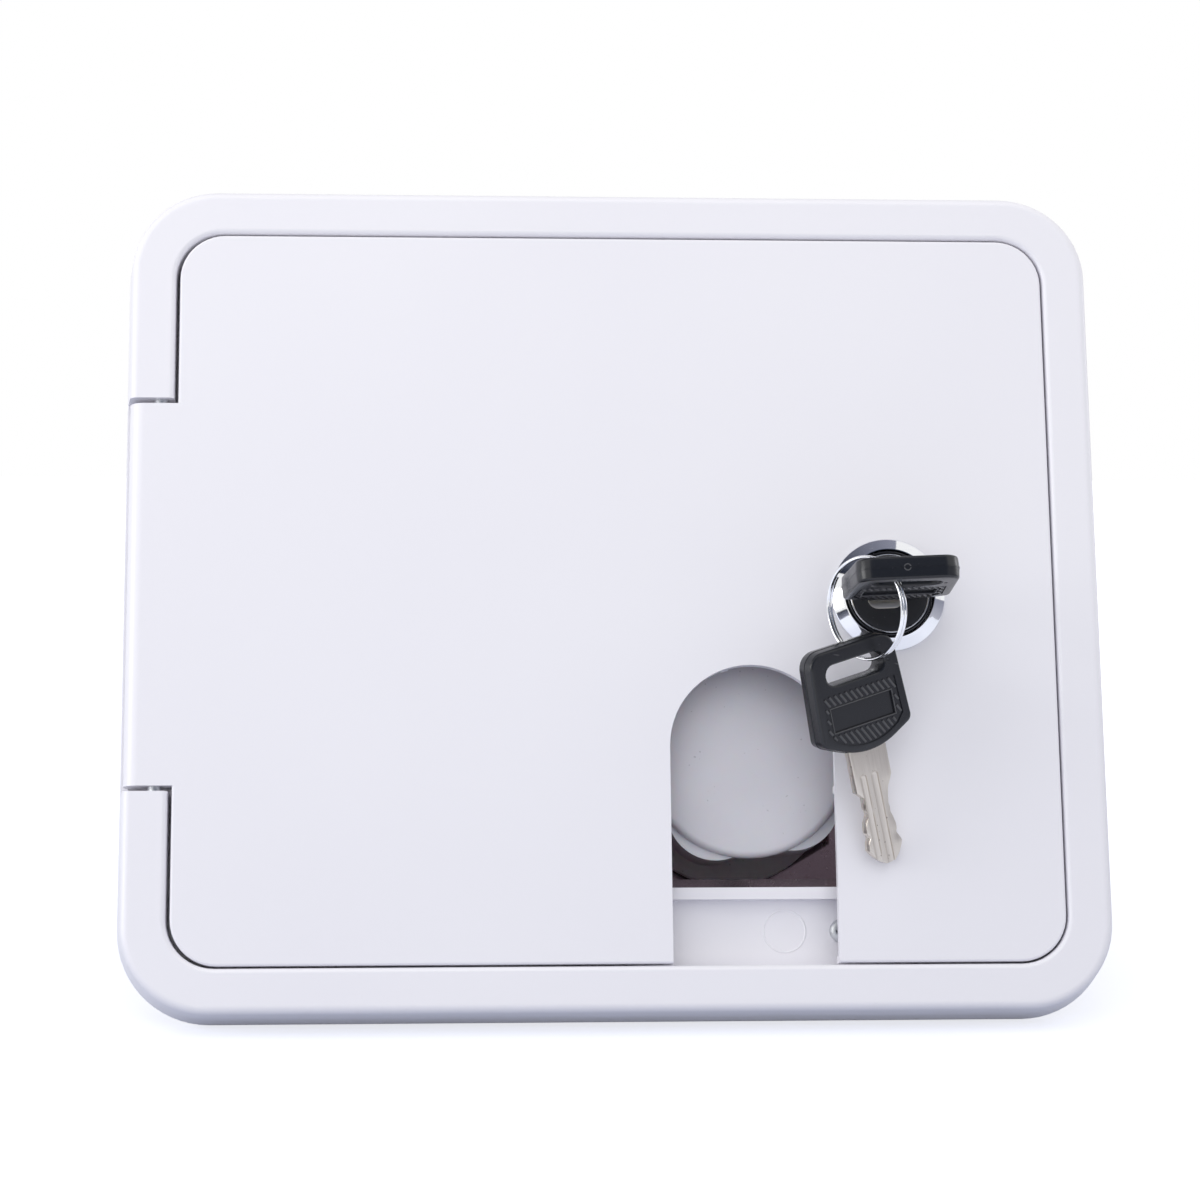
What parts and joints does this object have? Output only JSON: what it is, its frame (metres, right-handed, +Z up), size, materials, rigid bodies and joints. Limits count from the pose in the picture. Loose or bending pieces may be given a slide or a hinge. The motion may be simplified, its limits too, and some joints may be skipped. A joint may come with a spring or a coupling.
{
  "type": "caravan water fill hatch",
  "caption": "Lockable wall hatch with a hinged door, hose slot and screw cap over a fresh water filler neck.",
  "frame": {"origin": "middle of the frame's rear face, on the outside of the caravan's wall", "axes": "+Z up, +X to the right as seen from outside, -Y out towards the user"},
  "size_m": [0.2198, 0.1306, 0.1882],
  "materials": {
    "white_plastic": "satin white moulded ABS",
    "dark_plastic": "dark brown-black glossy moulded plastic",
    "milky_plastic": "milky white polyethylene",
    "black_rubber": "matte black rubber",
    "steel": "bright zinc-plated steel",
    "chrome": "polished chrome",
    "black_plastic": "satin black moulded plastic",
    "key_metal": "nickel silver, worn bright"
  },
  "bodies": {
    "hatch": {"bezel_frame": "white_plastic", "recess_tray": "dark_plastic", "lock_keeper": "dark_plastic", "filler_neck": "milky_plastic", "neck_gasket": "black_rubber", "neck_nut": "milky_plastic", "hinge_pin_upper": "steel", "hinge_pin_lower": "steel"},
    "door": {"door_panel": "white_plastic", "lock_bezel": "chrome", "lock_housing": "black_plastic", "lock_nut": "steel"},
    "lock": {"lock_plug": "black_plastic", "plug_ring": "chrome", "lock_cam": "steel", "cam_screw": "steel", "key_blade": "key_metal", "key_head": "black_plastic"},
    "ring": {"split_ring": "chrome"},
    "spare_key": {"spare_key_blade": "key_metal", "spare_key_head": "black_plastic"},
    "cap": {"cap_disc": "milky_plastic", "cap_grip": "milky_plastic", "cap_seal": "black_rubber"}
  },
  "joints": [
    {"name": "door_hinge", "type": "hinge", "parent": "hatch", "child": "door", "pos_m": [-0.1015, -0.0091, 0], "axis": [0, 0, -1], "range_deg": [0, 90]},
    {"name": "lock_turn", "type": "hinge", "parent": "door", "child": "lock", "pos_m": [0.0607, 0, -0.0007], "axis": [0, 1, 0], "range_deg": [0, 90]},
    {"name": "ring_turn", "type": "hinge", "parent": "lock", "child": "ring", "pos_m": [0.05307, -0.02919, -0.00707], "axis": [-0.7923, -0.5801, -0.1891], "range_deg": [0, 25]},
    {"name": "spare_key_swing", "type": "hinge", "parent": "ring", "child": "spare_key", "pos_m": [0.05394, -0.02684, -0.01792], "axis": [-0.6051, 0.7867, 0.1222], "range_deg": [0, 45]},
    {"name": "cap_turn", "type": "hinge", "parent": "hatch", "child": "cap", "pos_m": [0.0295, 0, -0.0346], "axis": [0, -1, 0], "range_deg": [0, 270]}
  ]
}
